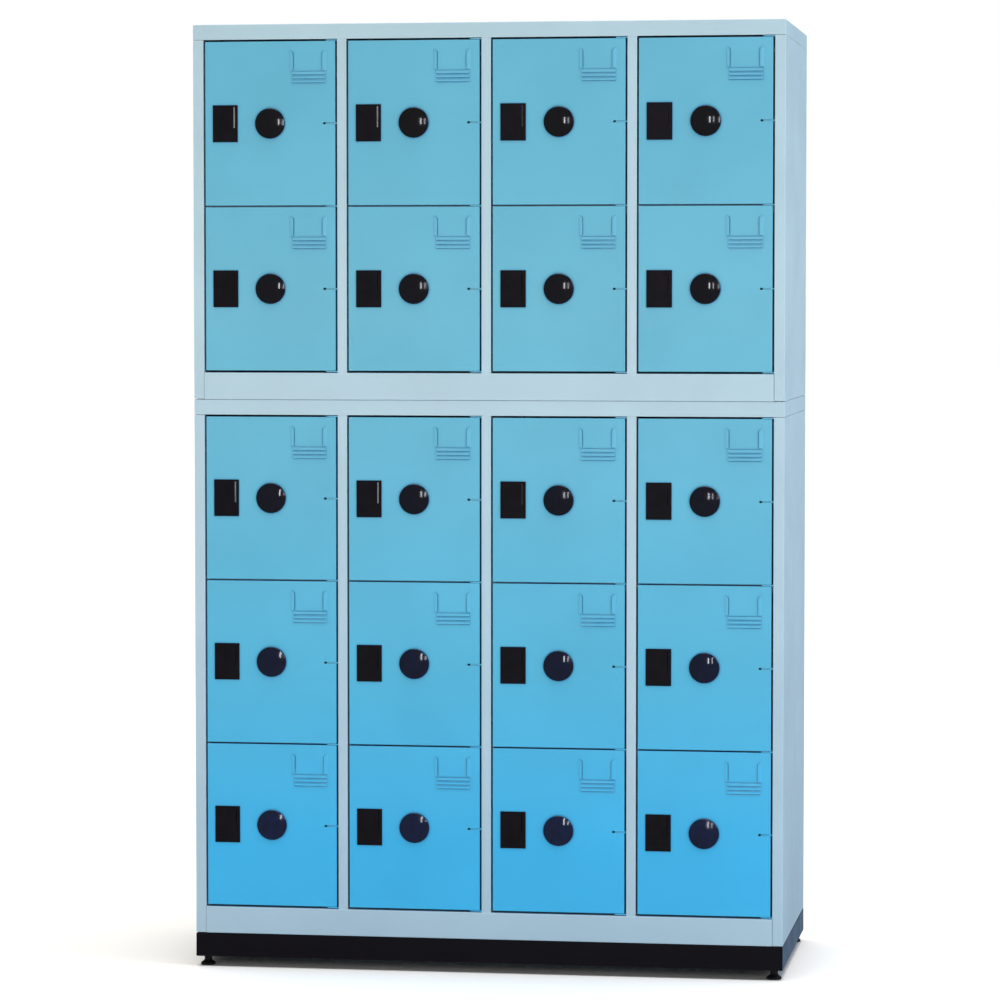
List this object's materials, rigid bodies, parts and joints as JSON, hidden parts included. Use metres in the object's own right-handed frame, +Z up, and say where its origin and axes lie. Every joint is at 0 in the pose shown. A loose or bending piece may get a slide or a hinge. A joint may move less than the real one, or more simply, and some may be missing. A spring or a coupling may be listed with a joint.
{
  "type": "coin operated locker",
  "caption": "Stacked steel coin locker with hinged doors, each with a coin plate and a turn knob with a latch arm, on a plinth with levelling feet.",
  "frame": {"origin": "on the floor, under the middle of the box that holds the whole locker, knobs included", "axes": "+Z up; the doors face -Y; +X is to the right as one faces the doors"},
  "size_m": [1.18, 0.523, 1.8835],
  "materials": {
    "casing_paint": "smooth semi-gloss powder coat, pale grey-blue",
    "door_paint": "smooth semi-gloss powder coat, sky blue",
    "plinth_paint": "satin black powder coat",
    "black_plastic": "polished black moulding",
    "zinc_steel": "bright zinc plate"
  },
  "bodies": {
    "casing": {"plinth_frame": "plinth_paint", "upper_top_cap": "casing_paint", "upper_base_and_posts": "casing_paint", "upper_back_panel": "casing_paint", "upper_side_left": "casing_paint", "upper_side_right": "casing_paint", "upper_cell_grid": "casing_paint", "lower_top_cap": "casing_paint", "lower_base_and_posts": "casing_paint", "lower_back_panel": "casing_paint", "lower_side_left": "casing_paint", "lower_side_right": "casing_paint", "lower_cell_grid": "casing_paint"},
    "door_a1": {"door_a1": "door_paint"},
    "knob_a1": {"knob_a1": "black_plastic"},
    "door_a2": {"door_a2": "door_paint"},
    "knob_a2": {"knob_a2": "black_plastic"},
    "door_a3": {"door_a3": "door_paint"},
    "knob_a3": {"knob_a3": "black_plastic"},
    "door_a4": {"door_a4": "door_paint"},
    "knob_a4": {"knob_a4": "black_plastic"},
    "door_b1": {"door_b1": "door_paint"},
    "knob_b1": {"knob_b1": "black_plastic"},
    "door_b2": {"door_b2": "door_paint"},
    "knob_b2": {"knob_b2": "black_plastic"},
    "door_b3": {"door_b3": "door_paint"},
    "knob_b3": {"knob_b3": "black_plastic"},
    "door_b4": {"door_b4": "door_paint"},
    "knob_b4": {"knob_b4": "black_plastic"},
    "door_c1": {"door_c1": "door_paint"},
    "knob_c1": {"knob_c1": "black_plastic"},
    "door_c2": {"door_c2": "door_paint"},
    "knob_c2": {"knob_c2": "black_plastic"},
    "door_c3": {"door_c3": "door_paint"},
    "knob_c3": {"knob_c3": "black_plastic"},
    "door_c4": {"door_c4": "door_paint"},
    "knob_c4": {"knob_c4": "black_plastic"},
    "door_d1": {"door_d1": "door_paint"},
    "knob_d1": {"knob_d1": "black_plastic"},
    "door_d2": {"door_d2": "door_paint"},
    "knob_d2": {"knob_d2": "black_plastic"},
    "door_d3": {"door_d3": "door_paint"},
    "knob_d3": {"knob_d3": "black_plastic"},
    "door_d4": {"door_d4": "door_paint"},
    "knob_d4": {"knob_d4": "black_plastic"},
    "door_e1": {"door_e1": "door_paint"},
    "knob_e1": {"knob_e1": "black_plastic"},
    "door_e2": {"door_e2": "door_paint"},
    "knob_e2": {"knob_e2": "black_plastic"},
    "door_e3": {"door_e3": "door_paint"},
    "knob_e3": {"knob_e3": "black_plastic"},
    "door_e4": {"door_e4": "door_paint"},
    "knob_e4": {"knob_e4": "black_plastic"},
    "foot_front_left": {"foot_front_left": "plinth_paint"},
    "foot_front_right": {"foot_front_right": "plinth_paint"},
    "foot_back_left": {"foot_back_left": "plinth_paint"},
    "foot_back_right": {"foot_back_right": "plinth_paint"}
  },
  "joints": [
    {"name": "door_a1_hinge", "type": "hinge", "parent": "casing", "child": "door_a1", "pos_m": [-0.30825, -0.2475, 1.525], "axis": [0, 0, 1], "range_deg": [0, 105]},
    {"name": "knob_a1_turn", "type": "hinge", "parent": "door_a1", "child": "knob_a1", "pos_m": [-0.43388, -0.2535, 1.68725], "axis": [0, 1, 0], "range_deg": [0, 90]},
    {"name": "foot_front_left_turn", "type": "hinge", "parent": "casing", "child": "foot_front_left", "pos_m": [-0.571, -0.2285, 0], "axis": [0, 0, 1], "continuous": true},
    {"name": "door_a2_hinge", "type": "hinge", "parent": "casing", "child": "door_a2", "pos_m": [-0.019, -0.2475, 1.525], "axis": [0, 0, 1], "range_deg": [0, 105]},
    {"name": "knob_a2_turn", "type": "hinge", "parent": "door_a2", "child": "knob_a2", "pos_m": [-0.14463, -0.2535, 1.68725], "axis": [0, 1, 0], "range_deg": [0, 90]},
    {"name": "door_a3_hinge", "type": "hinge", "parent": "casing", "child": "door_a3", "pos_m": [0.27025, -0.2475, 1.525], "axis": [0, 0, 1], "range_deg": [0, 105]},
    {"name": "knob_a3_turn", "type": "hinge", "parent": "door_a3", "child": "knob_a3", "pos_m": [0.14463, -0.2535, 1.68725], "axis": [0, 1, 0], "range_deg": [0, 90]},
    {"name": "door_a4_hinge", "type": "hinge", "parent": "casing", "child": "door_a4", "pos_m": [0.5595, -0.2475, 1.525], "axis": [0, 0, 1], "range_deg": [0, 105]},
    {"name": "knob_a4_turn", "type": "hinge", "parent": "door_a4", "child": "knob_a4", "pos_m": [0.43388, -0.2535, 1.68725], "axis": [0, 1, 0], "range_deg": [0, 90]},
    {"name": "door_b1_hinge", "type": "hinge", "parent": "casing", "child": "door_b1", "pos_m": [-0.30825, -0.2475, 1.1975], "axis": [0, 0, 1], "range_deg": [0, 105]},
    {"name": "knob_b1_turn", "type": "hinge", "parent": "door_b1", "child": "knob_b1", "pos_m": [-0.43388, -0.2535, 1.35975], "axis": [0, 1, 0], "range_deg": [0, 90]},
    {"name": "door_b2_hinge", "type": "hinge", "parent": "casing", "child": "door_b2", "pos_m": [-0.019, -0.2475, 1.1975], "axis": [0, 0, 1], "range_deg": [0, 105]},
    {"name": "knob_b2_turn", "type": "hinge", "parent": "door_b2", "child": "knob_b2", "pos_m": [-0.14463, -0.2535, 1.35975], "axis": [0, 1, 0], "range_deg": [0, 90]},
    {"name": "door_b3_hinge", "type": "hinge", "parent": "casing", "child": "door_b3", "pos_m": [0.27025, -0.2475, 1.1975], "axis": [0, 0, 1], "range_deg": [0, 105]},
    {"name": "knob_b3_turn", "type": "hinge", "parent": "door_b3", "child": "knob_b3", "pos_m": [0.14463, -0.2535, 1.35975], "axis": [0, 1, 0], "range_deg": [0, 90]},
    {"name": "door_b4_hinge", "type": "hinge", "parent": "casing", "child": "door_b4", "pos_m": [0.5595, -0.2475, 1.1975], "axis": [0, 0, 1], "range_deg": [0, 105]},
    {"name": "knob_b4_turn", "type": "hinge", "parent": "door_b4", "child": "knob_b4", "pos_m": [0.43388, -0.2535, 1.35975], "axis": [0, 1, 0], "range_deg": [0, 90]},
    {"name": "door_c1_hinge", "type": "hinge", "parent": "casing", "child": "door_c1", "pos_m": [-0.30825, -0.2475, 0.781], "axis": [0, 0, 1], "range_deg": [0, 105]},
    {"name": "knob_c1_turn", "type": "hinge", "parent": "door_c1", "child": "knob_c1", "pos_m": [-0.43388, -0.2535, 0.94325], "axis": [0, 1, 0], "range_deg": [0, 90]},
    {"name": "door_c2_hinge", "type": "hinge", "parent": "casing", "child": "door_c2", "pos_m": [-0.019, -0.2475, 0.781], "axis": [0, 0, 1], "range_deg": [0, 105]},
    {"name": "knob_c2_turn", "type": "hinge", "parent": "door_c2", "child": "knob_c2", "pos_m": [-0.14463, -0.2535, 0.94325], "axis": [0, 1, 0], "range_deg": [0, 90]},
    {"name": "door_c3_hinge", "type": "hinge", "parent": "casing", "child": "door_c3", "pos_m": [0.27025, -0.2475, 0.781], "axis": [0, 0, 1], "range_deg": [0, 105]},
    {"name": "knob_c3_turn", "type": "hinge", "parent": "door_c3", "child": "knob_c3", "pos_m": [0.14463, -0.2535, 0.94325], "axis": [0, 1, 0], "range_deg": [0, 90]},
    {"name": "door_c4_hinge", "type": "hinge", "parent": "casing", "child": "door_c4", "pos_m": [0.5595, -0.2475, 0.781], "axis": [0, 0, 1], "range_deg": [0, 105]},
    {"name": "knob_c4_turn", "type": "hinge", "parent": "door_c4", "child": "knob_c4", "pos_m": [0.43388, -0.2535, 0.94325], "axis": [0, 1, 0], "range_deg": [0, 90]},
    {"name": "door_d1_hinge", "type": "hinge", "parent": "casing", "child": "door_d1", "pos_m": [-0.30825, -0.2475, 0.4535], "axis": [0, 0, 1], "range_deg": [0, 105]},
    {"name": "knob_d1_turn", "type": "hinge", "parent": "door_d1", "child": "knob_d1", "pos_m": [-0.43388, -0.2535, 0.61575], "axis": [0, 1, 0], "range_deg": [0, 90]},
    {"name": "door_d2_hinge", "type": "hinge", "parent": "casing", "child": "door_d2", "pos_m": [-0.019, -0.2475, 0.4535], "axis": [0, 0, 1], "range_deg": [0, 105]},
    {"name": "knob_d2_turn", "type": "hinge", "parent": "door_d2", "child": "knob_d2", "pos_m": [-0.14463, -0.2535, 0.61575], "axis": [0, 1, 0], "range_deg": [0, 90]},
    {"name": "door_d3_hinge", "type": "hinge", "parent": "casing", "child": "door_d3", "pos_m": [0.27025, -0.2475, 0.4535], "axis": [0, 0, 1], "range_deg": [0, 105]},
    {"name": "knob_d3_turn", "type": "hinge", "parent": "door_d3", "child": "knob_d3", "pos_m": [0.14463, -0.2535, 0.61575], "axis": [0, 1, 0], "range_deg": [0, 90]},
    {"name": "door_d4_hinge", "type": "hinge", "parent": "casing", "child": "door_d4", "pos_m": [0.5595, -0.2475, 0.4535], "axis": [0, 0, 1], "range_deg": [0, 105]},
    {"name": "knob_d4_turn", "type": "hinge", "parent": "door_d4", "child": "knob_d4", "pos_m": [0.43388, -0.2535, 0.61575], "axis": [0, 1, 0], "range_deg": [0, 90]},
    {"name": "door_e1_hinge", "type": "hinge", "parent": "casing", "child": "door_e1", "pos_m": [-0.30825, -0.2475, 0.126], "axis": [0, 0, 1], "range_deg": [0, 105]},
    {"name": "knob_e1_turn", "type": "hinge", "parent": "door_e1", "child": "knob_e1", "pos_m": [-0.43388, -0.2535, 0.28825], "axis": [0, 1, 0], "range_deg": [0, 90]},
    {"name": "door_e2_hinge", "type": "hinge", "parent": "casing", "child": "door_e2", "pos_m": [-0.019, -0.2475, 0.126], "axis": [0, 0, 1], "range_deg": [0, 105]},
    {"name": "knob_e2_turn", "type": "hinge", "parent": "door_e2", "child": "knob_e2", "pos_m": [-0.14463, -0.2535, 0.28825], "axis": [0, 1, 0], "range_deg": [0, 90]},
    {"name": "door_e3_hinge", "type": "hinge", "parent": "casing", "child": "door_e3", "pos_m": [0.27025, -0.2475, 0.126], "axis": [0, 0, 1], "range_deg": [0, 105]},
    {"name": "knob_e3_turn", "type": "hinge", "parent": "door_e3", "child": "knob_e3", "pos_m": [0.14463, -0.2535, 0.28825], "axis": [0, 1, 0], "range_deg": [0, 90]},
    {"name": "door_e4_hinge", "type": "hinge", "parent": "casing", "child": "door_e4", "pos_m": [0.5595, -0.2475, 0.126], "axis": [0, 0, 1], "range_deg": [0, 105]},
    {"name": "knob_e4_turn", "type": "hinge", "parent": "door_e4", "child": "knob_e4", "pos_m": [0.43388, -0.2535, 0.28825], "axis": [0, 1, 0], "range_deg": [0, 90]},
    {"name": "foot_front_right_turn", "type": "hinge", "parent": "casing", "child": "foot_front_right", "pos_m": [0.571, -0.2285, 0], "axis": [0, 0, 1], "continuous": true},
    {"name": "foot_back_left_turn", "type": "hinge", "parent": "casing", "child": "foot_back_left", "pos_m": [-0.571, 0.2365, 0], "axis": [0, 0, 1], "continuous": true},
    {"name": "foot_back_right_turn", "type": "hinge", "parent": "casing", "child": "foot_back_right", "pos_m": [0.571, 0.2365, 0], "axis": [0, 0, 1], "continuous": true}
  ]
}
